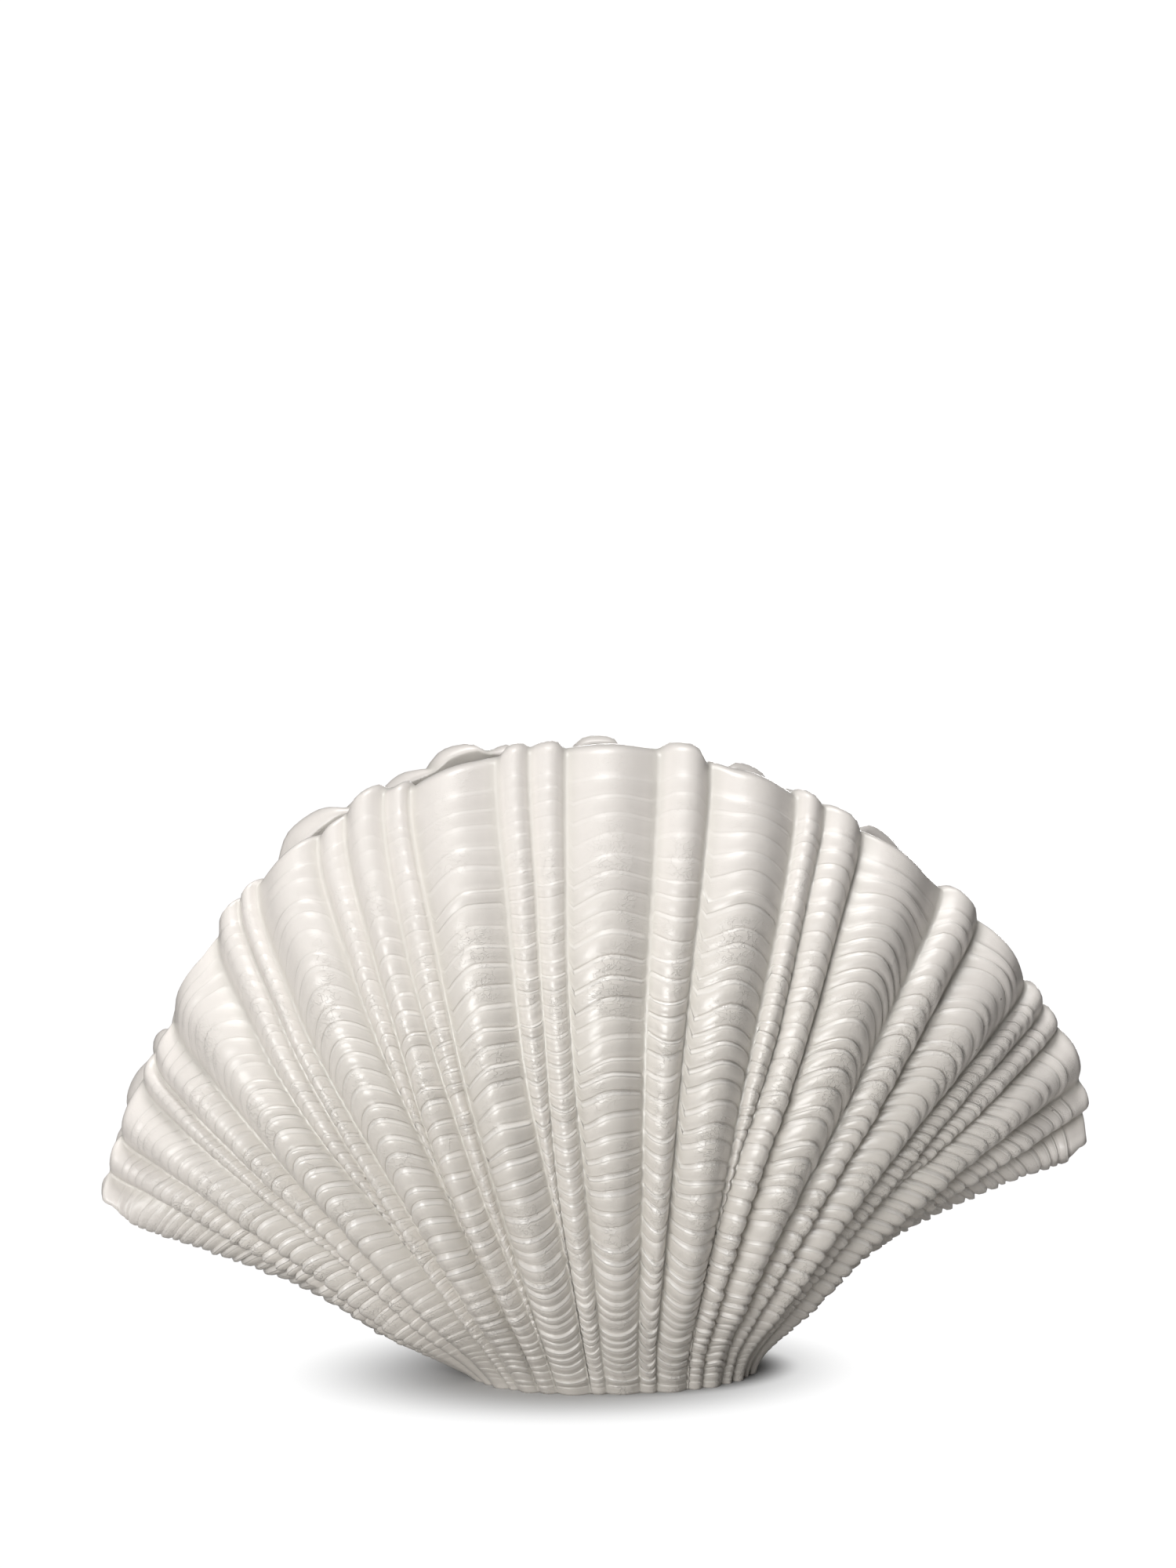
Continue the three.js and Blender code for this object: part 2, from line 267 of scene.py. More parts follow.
# %% [markdown]
# ## The growth ledges
# Every rib is a chain of swollen segments, like stacked tiles. They are long near the rim and short near
# the foot, and they don't line up from rib to rib. A bump texture would leave the outline smooth, so they
# are geometry: rows of points are laid on each rib's own ledges, three rows on each of a narrow rib's and
# four on those of all wider ribs. Thirty-nine times four and fifty-two times three are the same, so every
# rib has the same number of rows.

# %% Ledge lines of a rib
BROAD_LEDGES, BROAD_ROWS = 39, np.array([0, 0.25, 0.56, 0.8])
NARROW_LEDGES, NARROW_ROWS = 52, np.array([0, 0.38, 0.8])
LEDGES_TO = 0.965
LEDGE_SHORT, LEDGE_LONG = 0.5, 1.0
SHORT_TO, LONG_FROM = -0.05, 0.42
CLIMB_STEPS = 400


def ledge_lines(count, jitter):
    """The climbs of a rib's ledge lines: even in the running sum of 1 / ledge length, then jittered."""
    climb = np.linspace(0, LEDGES_TO, CLIMB_STEPS)
    length = between(LEDGE_SHORT, LEDGE_LONG, soft_step(climb, SHORT_TO, LONG_FROM))
    number = np.cumsum(1 / length)
    number = (number - number[0]) / (number[-1] - number[0]) * count
    wanted = np.arange(count + 1.0)
    wanted[1:-1] += jitter
    return np.interp(wanted, number, climb)


def ledge_rows(lines, samples):
    """Climbs of the rows: the same samples of every ledge between its two lines, plus the last line."""
    steps = np.diff(lines)[:, None] * samples[None, :]
    return np.append((lines[:-1, None] + steps).ravel(), lines[-1])


def row_phase(count, samples):
    """The ledge number of each row: whole at a ledge line, and its fraction between."""
    return np.append((np.arange(count)[:, None] + samples[None, :]).ravel(), count)


even_rows = ledge_rows(ledge_lines(BROAD_LEDGES, 0), BROAD_ROWS)
print("rows on the ledges:", len(even_rows))

# %% Rows along the ledges of each rib, each ledge with its own length, force and tilt
LEDGE_JITTER = 0.2
LEAST_FORCE, MOST_FORCE, NARROW_FORCE = 0.6, 1.35, 0.8

rib_rows, rib_phase, ledge_force, ledge_tilt = [], [], [], []
for is_narrow in rib_width <= NARROW:
    count, samples = (NARROW_LEDGES, NARROW_ROWS) if is_narrow else (BROAD_LEDGES, BROAD_ROWS)
    lines = ledge_lines(count, chance.uniform(-LEDGE_JITTER, LEDGE_JITTER, count - 1))
    rib_rows.append(ledge_rows(lines, samples))
    rib_phase.append(row_phase(count, samples))
    own_force = chance.uniform(LEAST_FORCE, MOST_FORCE, count) * (NARROW_FORCE if is_narrow else 1.0)
    ledge_force.append(np.append(np.repeat(own_force, len(samples)), 1.0))
    tilts = chance.uniform(-1, 1, count + 1)
    ledge_tilt.append(np.interp(rib_phase[-1], np.arange(count + 1), tilts))
rib_rows, rib_phase = np.array(rib_rows).T, np.array(rib_phase).T
ledge_force, ledge_tilt = np.array(ledge_force).T, np.array(ledge_tilt).T
print("rows by ribs:", rib_rows.shape)

# %% [markdown]
# The ledge lines aren't straight. On the wings they bow towards the rim on the crown of a rib. In the
# middle of the vase they hang down like smiles low on the ribs, and higher up one end of each sweeps down
# on the broad ribs. Here that is the left-hand end. On the real vase it is the right-hand one, so the sweep
# is the wrong way round. At a valley two ribs with different ledges share their points, so the rows there
# return to an even spacing.

# %% Bow, sag, sweep and tilt of the ledge lines
VALLEY_BLEND = 0.09
BOW_WINGS, SAG_MIDDLE, SWEEP, TILT = 0.038, -0.013, -0.02, 0.004
WING_FROM, WING_BY = 0.2, 0.6
HIGH_FROM, HIGH_BY = 0.25, 0.5
FULL_BOW_WIDTH, MOST_BOW = 9, 1.1
BOW_LOW_DOWN, NARROW_SAG, SWEEP_FROM = 0.35, 1.8, 0.45
BOW_MIDDLE = 0.6
ROOM_AT_FOOT, ROOM_AT_RIM = 0.06, 0.2

on_rib = soft_step(edge_gap, 0, VALLEY_BLEND)
outside_climb = between(even_rows[:, None], rib_rows[:, column_rib], on_rib)
wing = soft_step(np.abs(np.cos(column_turn)), WING_FROM, WING_BY)
bow_size = np.minimum(rib_width / FULL_BOW_WIDTH, MOST_BOW)[column_rib]
high_up = soft_step(outside_climb, HIGH_FROM, HIGH_BY)
room = soft_step(outside_climb, 0, ROOM_AT_FOOT) * soft_step(1 - outside_climb, 0, ROOM_AT_RIM)
sagging = np.where(broad, 1 - high_up, NARROW_SAG)
bow = BOW_WINGS * wing * between(BOW_LOW_DOWN, 1, high_up) + SAG_MIDDLE * (1 - wing) * sagging
bow_shape = 1 - (2 * column_across - 1) ** 2
sweep = SWEEP * (1 - wing) * high_up * soft_step(column_across, SWEEP_FROM, 1) * broad
outside_climb = outside_climb + bow_size * room * (bow * (bow_shape - BOW_MIDDLE) + sweep * on_rib)
outside_climb += TILT * ledge_tilt[:, column_rib] * (2 * column_across - 1) * on_rib * room
print("smallest step between rows:", np.diff(outside_climb, axis=0).min().round(5))

# %% Rows at the rim, which dips a little where the tips close
RIM_ROWS = np.array([0.975, 0.9875, 1.0])
NOSE_CLIMB = 0.035
CLOSED_FROM, CLOSED_BY = 0.80, 0.93

closed = soft_step(np.abs(np.cos(column_turn)), CLOSED_FROM, CLOSED_BY)
rim_share = (RIM_ROWS - LEDGES_TO) / (1 - LEDGES_TO)
rim_rows = between(outside_climb[-1][None, :], 1.0, rim_share[:, None])
outside_climb = np.vstack([outside_climb, rim_rows]) * (1 - NOSE_CLIMB * closed)
print("rows on the outside:", len(outside_climb))

# %% [markdown]
# ## The fluted surface
# The relief stands on the body along its outward direction. The crowns are full and satin-smooth and the
# valleys are narrow and rounded, as on glazed clay. A wide rib has a high crown, and all are lower near the
# foot. A ledge swells slowly from its foot end and drops with a short step at its rim end.

# %% Cross-section of a rib and profile of a ledge
CROWN_ROUND, TROUGH = 0.86, 0.18
SKEW_MEAN, SKEW_RANGE, SKEW_STEP = 1.02, 0.17, 2.4
SWELL_BY, SWELL_ROUND, STEP_FROM = 0.5, 0.9, 0.8
rib_skew = SKEW_MEAN + SKEW_RANGE * np.sin(SKEW_STEP * np.arange(rib_count))


def rib_bulge(across, skew):
    """The cross-section of a rib: a sine arch sin(pi a^k) that leans to one side, with a rounded trough.

    With s for the sine, the trough is the root of s^2 + t^2 less t, scaled to 1 at the crown, to the power
    0.86.
    """
    sine = np.sin(np.pi * across ** skew)
    rounded = (np.sqrt(sine ** 2 + TROUGH ** 2) - TROUGH) / (np.sqrt(1 + TROUGH ** 2) - TROUGH)
    return rounded ** CROWN_ROUND


def ledge_swell(phase):
    """The profile of a ledge: a quarter sine to the power 0.9, a flat crown and a straight step back."""
    place = phase - np.floor(phase)
    rise = np.sin(np.pi / 2 * np.minimum(place / SWELL_BY, 1)) ** SWELL_ROUND
    return np.minimum(rise, (1 - place) / (1 - STEP_FROM))


print("swell along a ledge:", ledge_swell(np.array([0, 0.25, 0.56, 0.8, 0.9])).round(2))

# %% Rise of each rib's end above the rim, with a nick at each valley
RISE_BLEND, NOTCH = 0.3, 0.8
UPWARD_FROM = 0.97
own_rise = rib_rise[column_rib]
side = np.where(column_across < 0.5, -1, 1)
shared_rise = (own_rise + rib_rise[(column_rib + side) % rib_count]) / 2 - NOTCH
rim_rise = between(shared_rise, own_rise, soft_step(edge_gap, 0, RISE_BLEND))
at_rim, below_rim = np.ones(column_count), np.full(column_count, UPWARD_FROM)
upward = body_point(column_turn, at_rim) - body_point(column_turn, below_rim)
upward /= np.linalg.norm(upward, axis=-1, keepdims=True)
print("rises from", rim_rise.min().round(1), "to", rim_rise.max().round(1), "mm")

# %% [markdown]
# The inside is nearly smooth, as slip builds up behind the ribs. Its wall thickens towards the lip, and
# towards the tips it comes together and shuts the slit.

# %% A point of the outside or the inside
WALL, RIM_WALL, RIM_WALL_FROM = 5.0, 10.0, 0.85
CROWN_LEAST, CROWN_PER_DEGREE, WIDEST_CROWN = 1.4, 0.52, 11.0
CROWN_AT_FOOT, FULL_CROWN_FROM, FOOT_BLEND = 0.35, 0.35, 0.25
TIP_CROWN_LOW, TIP_CROWN_FROM, TIP_CROWN_BY = 0.5, 0.3, 0.9
INSIDE_RELIEF = 0.2
ROLL_START, ROLL_IN = 0.93, 2.5
RISE_FROM = 0.72
SHUT_FROM, SHUT_BY, SLIT_LEFT = 0.88, 0.965, 0.03
is_tip = np.isin(column_rib, [len(FRONT_RIBS), rib_count - 1])


def fluted_point(climb, swell=0.0, is_inside=False):
    """The smooth body moved along its outward direction by an offset, then up by the rise of the rib's end.

    Outside, the offset is crown * bulge, plus the ledge's swell, less a roll that grows as a square near
    the rim. Inside, the body is drawn in by a wall, its depth shrinks towards the tips, and the offset is a
    faint wave.
    """
    left, right = valley_turn(column_rib, climb), valley_turn(column_rib + 1, climb)
    turn, width = between(left, right, column_across), np.degrees(right - left)
    crown = CROWN_LEAST * rib_share(column_rib, climb) + CROWN_PER_DEGREE * np.minimum(width, WIDEST_CROWN)
    tip_crown = between(TIP_CROWN_LOW, 1.0, soft_step(climb, TIP_CROWN_FROM, TIP_CROWN_BY))
    crown = crown * np.where(is_tip, tip_crown, 1.0)
    outward = body_normal(turn, climb)
    outward[..., 2] *= soft_step(climb, 0, FOOT_BLEND)
    if is_inside:
        shut = closed * soft_step(climb, SHUT_FROM, SHUT_BY)
        offset = crown * (1 - np.cos(2 * np.pi * column_across)) / 2 * INSIDE_RELIEF * climb * (1 - shut)
        wall = between(WALL, RIM_WALL, soft_step(climb, RIM_WALL_FROM, 1) * (1 - closed))
        point = body_point(turn, climb, wall)
        point[..., 1] *= between(1, SLIT_LEFT, shut)
    else:
        low = between(CROWN_AT_FOOT, 1, soft_step(climb, 0, FULL_CROWN_FROM))
        roll = ROLL_IN * (np.maximum(climb - ROLL_START, 0) / (1 - ROLL_START)) ** 2
        offset = crown * rib_bulge(column_across, rib_skew[column_rib]) * low + swell - roll
        point = body_point(turn, climb)
    point += outward * offset[..., None]
    return point + upward * (rim_rise * soft_step(climb, RISE_FROM, 1))[..., None]


print("columns at the tips:", int(is_tip.sum()))

# %% [markdown]
# The ledges are highest low on the vase and fade towards the rim, less so on its right-hand side. Down by
# the foot the two ends are smooth.

# %% Height of the ledges, and the outside from the foot to the rim
LEDGE_HEIGHT_LOW, LEDGE_HEIGHT_RIM, LEDGE_HEIGHT_RIM_RIGHT = 1.4, 0.38, 0.85
RIGHT_FROM, RIGHT_BY = 0.15, 0.5
END_FROM, END_BY = 0.55, 0.9
FADE_TO_RIM, FADED_BY = 0.5, 0.95
LEDGES_FULL_BY, END_LEDGES_FROM, END_LEDGES_BY = 0.03, 0.02, 0.4

on_the_right = soft_step(np.cos(column_turn), RIGHT_FROM, RIGHT_BY)
rim_ledge = between(LEDGE_HEIGHT_RIM, LEDGE_HEIGHT_RIM_RIGHT, on_the_right)
ledge_height = between(LEDGE_HEIGHT_LOW, rim_ledge, soft_step(outside_climb, FADE_TO_RIM, FADED_BY))
at_the_ends = soft_step(np.abs(np.cos(column_turn)), END_FROM, END_BY)
from_foot_up = soft_step(outside_climb, 0, LEDGES_FULL_BY)
ledge_height *= between(from_foot_up, soft_step(outside_climb, END_LEDGES_FROM, END_LEDGES_BY), at_the_ends)
phase = np.vstack([rib_phase[:, column_rib], np.repeat(rib_phase[-1:, column_rib], len(RIM_ROWS), axis=0)])
force = np.vstack([ledge_force[:, column_rib], np.zeros((len(RIM_ROWS), column_count))])
outside = fluted_point(outside_climb, ledge_height * force * ledge_swell(phase) * on_rib)
outside[0, :, 2] = 0
print("reach in mm:", np.ptp(outside.reshape(-1, 3), axis=0).round(1))

# %% [markdown]
# ## Lip, inside and foot
# The lip is a low round from the outside to the inside, a quarter as high as it is thick, and a rounded
# nose where the tips close. A Solidify modifier could make an even wall, but this one thickens to the lip
# and shuts at the tips. So the inside is worked out as the outside is, down to a level floor. Nothing shows
# of the underside, so it gets what such vases have: a ring with a shallow recess.

# %% Lip
LIP_ROUNDNESS, NOSE_ROUND, NOSE_TURN = 0.25, 7.0, 0.5
LIP_STEPS = np.radians([22, 50, 78, 102, 130, 158])

rim_climb = outside_climb[-1]
outer_rim, inner_rim = outside[-1], fluted_point(rim_climb, is_inside=True)
lip_thickness = np.linalg.norm(outer_rim - inner_rim, axis=-1)
nose = between(LIP_ROUNDNESS * lip_thickness, NOSE_ROUND, closed)
angle = LIP_STEPS[:, None] * between(1.0, NOSE_TURN, closed)[None, :]
middle = between((outer_rim + inner_rim) / 2, inner_rim, closed[:, None])
lip = middle + np.cos(angle)[..., None] * (outer_rim - middle) + (np.sin(angle) * nose)[..., None] * upward
print("lip in mm, thinnest and thickest:", lip_thickness.min().round(1), lip_thickness.max().round(1))

# %% Inside, lifted where the wall faces down, over a level floor
FLOOR = 9.0
INSIDE_CLIMBS = [1, 0.97, 0.9, 0.8, 0.65, 0.5, 0.35, 0.2, 0.1]

inside = np.array([fluted_point(rim_climb * climb, is_inside=True) for climb in INSIDE_CLIMBS])
inside[0] += upward * (nose * closed)[:, None]
for row, climb in zip(inside, INSIDE_CLIMBS):
    lean = -body_normal(column_turn, climb)[..., 2]
    row[:, 2] = np.maximum(row[:, 2] + np.maximum(lean, 0) * WALL, FLOOR)
print("rows inside:", len(inside))

# %% Floor and underside
FOOT_RING, FOOT_RECESS, RECESS_SLOPE = 9.0, 2.5, 2.0


def oval_row(inset, height):
    """A level oval under the foot or on the floor, drawn in from the foot's outline."""
    row = body_point(column_turn, np.zeros(column_count), inset)
    row[:, 2] = height
    return row


floor_row = oval_row(FOOT_RING, FLOOR)
underside = np.array([oval_row(FOOT_RING + RECESS_SLOPE, FOOT_RECESS), oval_row(FOOT_RING, 0)])
print("foot ring in mm:", FOOT_RING, "round a recess of", FOOT_RECESS)

# %% [markdown]
# ## One closed mesh
# All rows join into one skin that starts in the middle of the underside and ends in the middle of the
# floor, so there is no seam to weld and no loose face. Modifiers would add nothing: the points are dense
# enough as they are.

# %% Points of the mesh, in metres
MILLIMETRE = 0.001
rows = np.concatenate([underside, outside, lip, inside, floor_row[None]])
row_count = len(rows)
middles = np.array([[FOOT_SHIFT, 0, FOOT_RECESS], [FOOT_SHIFT, 0, FLOOR]])
points = np.concatenate([rows.reshape(-1, 3), middles]) * MILLIMETRE
under_middle, floor_middle = len(points) - 2, len(points) - 1
print("points:", len(points))

# %% Faces: four-sided between the rows, and a fan at each end
row_index, column_index = np.meshgrid(np.arange(row_count - 1), np.arange(column_count), indexing="ij")
next_column = (column_index + 1) % column_count
low, high = row_index * column_count, (row_index + 1) * column_count
quads = np.stack([low + column_index, high + column_index, high + next_column, low + next_column], -1)
quads = quads.reshape(-1, 4)
ring = np.arange(column_count)
ring_next = (ring + 1) % column_count
top = (row_count - 1) * column_count
under_fan = np.stack([np.full(column_count, under_middle), ring, ring_next], -1)
floor_fan = np.stack([np.full(column_count, floor_middle), top + ring_next, top + ring], -1)

mesh = bpy.data.meshes.new("shell_vase_glazed")
mesh.from_pydata(points.tolist(), [], quads.tolist() + under_fan.tolist() + floor_fan.tolist())
mesh.polygons.foreach_set("use_smooth", np.ones(len(mesh.polygons), bool))
print("triangles:", 2 * len(quads) + 2 * column_count)

# %% [markdown]
# The glaze needs to know where on a rib and on a ledge it lies. A UV map carries the rib's number with the
# place across it, and the ledge number, which the glaze reads. Three numbers on the points carry the climb,
# the height of the ledge and the crown.

# %% UV map: rib number and place across it, and ledge number
UV_SHARE = 0.98
OUTSIDE_FIRST = len(underside)
LEDGES_END, OUTSIDE_END = OUTSIDE_FIRST + len(rib_phase), OUTSIDE_FIRST + len(outside)

full_phase = np.zeros((row_count, rib_count))
full_phase[OUTSIDE_FIRST:LEDGES_END] = rib_phase
full_phase[LEDGES_END:] = rib_phase[-1]
owner = column_rib[column_index.ravel()]
left_side, right_side = column_across[column_index.ravel()], column_across[next_column.ravel()]
right_side = np.where(right_side == 0, 1.0, right_side)
phase_low, phase_high = full_phase[row_index.ravel(), owner], full_phase[row_index.ravel() + 1, owner]
corner_u = owner[:, None] + np.stack([left_side, left_side, right_side, right_side], -1) * UV_SHARE
corner_v = np.stack([phase_low, phase_high, phase_high, phase_low], -1)
quad_uv = np.stack([corner_u, corner_v], -1).reshape(-1, 2)
fan_uv = np.zeros((6 * column_count, 2))
uv_layer = mesh.uv_layers.new(name="rib_and_ledge")
uv_layer.data.foreach_set("uv", np.concatenate([quad_uv, fan_uv]).astype(np.float32).ravel())
print("ledge numbers up to", int(full_phase.max()))


# %% Numbers on the points: climb, ledge and crown
def store(name, grid):
    """Keeps one number for each point of the grid on the mesh, and 0 at the two middles."""
    values = np.concatenate([grid.ravel(), [0.0, 0.0]]).astype(np.float32)
    mesh.attributes.new(name, "FLOAT", "POINT").data.foreach_set("value", values)


climb_grid, ledge_grid = np.zeros((row_count, column_count)), np.zeros((row_count, column_count))
climb_grid[OUTSIDE_FIRST:OUTSIDE_END] = outside_climb
climb_grid[OUTSIDE_END:OUTSIDE_END + len(lip)] = 1.0
ledge_grid[OUTSIDE_FIRST:OUTSIDE_END] = force * on_rib * ledge_height
store("climb", climb_grid)
store("ledge", ledge_grid)
store("crown", np.repeat(rib_bulge(column_across, 1.0)[None, :], row_count, axis=0))
mesh.update()

vase = bpy.data.objects.new("shell_vase_glazed", mesh)
bpy.context.scene.collection.objects.link(vase)
print("highest ledge in mm:", ledge_grid.max().round(2))

# %% [markdown]
# ## The glaze
# A satin off-white glaze: soft pearl highlights on the crowns with a fine wrinkle, painted shade that
# darkens the valleys to a deeper cream, a drier and lighter zone along the rim, fine ledge lines with a
# painted highlight on their lips and painted shade behind them, and a few pinholes. It could be painted on
# an image, which would blur when seen close. It is built from nodes on the mesh's own numbers and on Object
# coordinates instead, so it stays sharp, and stays on the surface from every side.

# %% Helpers for nodes
glaze = bpy.data.materials.new("satin_shell_glaze")
glaze.use_nodes = True
tree = glaze.node_tree
shader = tree.nodes["Principled BSDF"]


def node(kind, **settings):
    """A new node, with its settings, in the tree that is being built."""
    made = tree.nodes.new(kind)
    for name, value in settings.items():
        setattr(made, name, value)
    return made


def feed(socket, value):
    """Puts a number, a colour or another node's output into a socket."""
    if isinstance(value, bpy.types.NodeSocket):
        tree.links.new(value, socket)
    else:
        socket.default_value = value


def arithmetic(operation, first, second=0.0, clamp=False):
    """One step of arithmetic on two values."""
    made = node("ShaderNodeMath", operation=operation, use_clamp=clamp)
    feed(made.inputs[0], first)
    feed(made.inputs[1], second)
    return made.outputs[0]


def ramp(value, start, end, low=0.0, high=1.0, kind="SMOOTHSTEP"):
    """A value mapped from the range start-end to low-high, with a smooth S unless kind is LINEAR."""
    made = node("ShaderNodeMapRange", interpolation_type=kind)
    for socket, item in zip(made.inputs, (value, start, end, low, high)):
        feed(socket, item)
    return made.outputs[0]


def mix(share, first, second):
    """A colour between two others."""
    made = node("ShaderNodeMix", data_type="RGBA")
    feed(made.inputs["Factor"], share)
    feed(made.inputs["A"], first)
    feed(made.inputs["B"], second)
    return made.outputs["Result"]


print("material:", glaze.name)

# %% What the glaze reads
place = node("ShaderNodeTexCoord")


def noise(scale, detail=2.0, vector=None, roughness=0.5):
    """Noise on Object coordinates, or on another vector."""
    made = node("ShaderNodeTexNoise")
    feed(made.inputs["Vector"], vector or place.outputs["Object"])
    feed(made.inputs["Scale"], scale)
    feed(made.inputs["Detail"], detail)
    feed(made.inputs["Roughness"], roughness)
    return made.outputs["Fac"]


def attribute(name):
    """A number kept on the mesh."""
    return node("ShaderNodeAttribute", attribute_name=name).outputs["Fac"]


climb_value, ledge_value, crown_value = attribute("climb"), attribute("ledge"), attribute("crown")
uv_parts = node("ShaderNodeSeparateXYZ")
feed(uv_parts.inputs[0], place.outputs["UV"])
ledge_place = arithmetic("FRACT", uv_parts.outputs["Y"])
kept_numbers = [item.name for item in mesh.attributes if item.data_type == "FLOAT"]
print("the glaze reads:", kept_numbers)

# %% Ledge lines: a thin raised lip at the rim end of a ledge, and a groove behind it
LIP_RISES, LIP_FALLS = (0.7, 0.82), (0.88, 1.0)
GROOVE_RANGE, GROOVE_DEPTH = (0.0, 0.1), -0.6

lip_line = arithmetic("MULTIPLY", ramp(ledge_place, *LIP_RISES), ramp(ledge_place, *LIP_FALLS, 1.0, 0.0))
groove = ramp(ledge_place, *GROOVE_RANGE, GROOVE_DEPTH, 0.0)
line = arithmetic("MULTIPLY", arithmetic("ADD", lip_line, groove), ledge_value)
print("lip line, as shares of a ledge: from", LIP_RISES[0], "to", LIP_FALLS[1])

# %% Wrinkles: the thin ridges where a noise crosses its middle, in patches, over a fine grain
WRINKLE_SCALE, PATCH_SCALE, GRAIN_SCALE = 300.0, 60.0, 900.0
WRINKLE_WIDTH, WRINKLE_ROUGHNESS, GRAIN_SHARE = 0.035, 0.65, 0.6
WRINKLE_STRETCH = (1.0, 1.0, 1.6)
PATCH_RANGE = (0.42, 0.62)
LESS_AT_RIM, LESS_IN_VALLEYS = (0.97, 0.7, 0.25, 1.0), (0.5, 0.95, 0.3, 1.0)

stretch = node("ShaderNodeMapping")
feed(stretch.inputs["Vector"], place.outputs["Object"])
stretch.inputs["Scale"].default_value = WRINKLE_STRETCH
wrinkle_noise = noise(WRINKLE_SCALE, 2.0, stretch.outputs[0], WRINKLE_ROUGHNESS)
from_middle = arithmetic("SUBTRACT", wrinkle_noise, 0.5)
ridges = ramp(arithmetic("ABSOLUTE", from_middle), 0.0, WRINKLE_WIDTH, 1.0, 0.0)
crinkle = arithmetic("MULTIPLY", ridges, ramp(noise(PATCH_SCALE, 1.0), *PATCH_RANGE))
grain = arithmetic("MULTIPLY", noise(GRAIN_SCALE, 2.0), GRAIN_SHARE)
wrinkle_share = arithmetic("MULTIPLY", ramp(climb_value, *LESS_AT_RIM), ramp(crown_value, *LESS_IN_VALLEYS))
wrinkle = arithmetic("MULTIPLY", arithmetic("ADD", crinkle, grain), wrinkle_share)
print("wrinkles about", round(1000 / WRINKLE_SCALE, 1), "mm apart")

# %% Bump, in metres: the lines, soft dimples over them, and the wrinkles on top
LINE_BUMP, DIMPLE_BUMP, WRINKLE_BUMP = 0.0002, 0.0005, 0.0002
DIMPLE_SCALE = 110.0
DIMPLE_STRENGTH, WRINKLE_STRENGTH = 0.5, 0.8


def bump(height, distance, strength, below=None):
    """A bump node: the height in the surface's own direction, laid over another bump."""
    made = node("ShaderNodeBump")
    feed(made.inputs["Height"], height)
    if below:
        feed(made.inputs["Normal"], below)
    made.inputs["Distance"].default_value = distance
    made.inputs["Strength"].default_value = strength
    return made.outputs[0]


lines_bumped = bump(line, LINE_BUMP, 1.0)
dimples_bumped = bump(noise(DIMPLE_SCALE, 2.0), DIMPLE_BUMP, DIMPLE_STRENGTH, lines_bumped)
feed(shader.inputs["Normal"], bump(wrinkle, WRINKLE_BUMP, WRINKLE_STRENGTH, dimples_bumped))
print("deepest bump in mm:", 1000 * DIMPLE_BUMP)

# %% Colour: crown and rim, painted shade in the valleys, then a painted highlight on the ledges' lips and painted shade behind them
CROWN_COLOUR = (0.735, 0.695, 0.64, 1)
VALLEY_SHADE_COLOUR = (0.58, 0.56, 0.505, 1)
RIM_COLOUR = (0.80, 0.755, 0.715, 1)
LIP_HIGHLIGHT_COLOUR = (0.86, 0.83, 0.79, 1)
CREASE_SHADE_COLOUR = (0.40, 0.35, 0.30, 1)
RIM_SHARE, VALLEY_SHADE_SHARE, LIP_HIGHLIGHT_SHARE, CREASE_SHADE_SHARE = 0.8, 0.5, 0.35, 0.6
RIM_RANGE, VALLEY_SHADE_RANGE = (0.55, 0.98), (0.5, 0.0)
CREASE_SHADE_RANGE, CREASE_SHADE_BY_LEDGE = (0.0, 0.09), (0.2, 1.6)

towards_rim = arithmetic("MULTIPLY", ramp(climb_value, *RIM_RANGE), RIM_SHARE)
# Painted shade: towards the valleys the glaze is mixed to a darker colour of the same hue.
in_valley_shade = arithmetic("MULTIPLY", ramp(crown_value, *VALLEY_SHADE_RANGE), VALLEY_SHADE_SHARE)
glaze_with_valley_shade = mix(in_valley_shade, mix(towards_rim, CROWN_COLOUR, RIM_COLOUR), VALLEY_SHADE_COLOUR)
# Painted highlight: the thin lip at the rim end of each ledge is lightened to a near-white colour.
on_lip_highlight = arithmetic("MULTIPLY", lip_line, arithmetic("MULTIPLY", ledge_value, LIP_HIGHLIGHT_SHARE), clamp=True)
# Painted shade: a dark colour just past each ledge line, stronger where the ledges stand higher.
in_crease_shade = arithmetic("MULTIPLY", ramp(ledge_place, *CREASE_SHADE_RANGE, 1.0, 0.0),
                       ramp(ledge_value, *CREASE_SHADE_BY_LEDGE, 0.0, CREASE_SHADE_SHARE))
glaze_with_painted_light = mix(in_crease_shade, mix(on_lip_highlight, glaze_with_valley_shade, LIP_HIGHLIGHT_COLOUR), CREASE_SHADE_COLOUR)
print("crown colour:", CROWN_COLOUR[:3])

# %% Pinholes: a small dark dot in the middle of one cell in seven
PINHOLE_COLOUR = (0.16, 0.11, 0.08, 1)
PINHOLE_SCALE, PINHOLE_PICK, PINHOLE_SHARE = 95.0, 0.86, 0.6
PINHOLE_EDGE = (0.035, 0.06)

cells = node("ShaderNodeTexVoronoi", feature="F1")
feed(cells.inputs["Vector"], place.outputs["Object"])
feed(cells.inputs["Scale"], PINHOLE_SCALE)
cell_colour = node("ShaderNodeSeparateColor")
feed(cell_colour.inputs[0], cells.outputs["Color"])
dot = ramp(cells.outputs["Distance"], *PINHOLE_EDGE, 1.0, 0.0)
pinhole = arithmetic("MULTIPLY", dot, arithmetic("GREATER_THAN", cell_colour.outputs[0], PINHOLE_PICK))
pinhole = arithmetic("MULTIPLY", pinhole, PINHOLE_SHARE)
feed(shader.inputs["Base Color"], mix(pinhole, glaze_with_painted_light, PINHOLE_COLOUR))
print("pinhole cells about", round(1000 / PINHOLE_SCALE, 1), "mm apart")

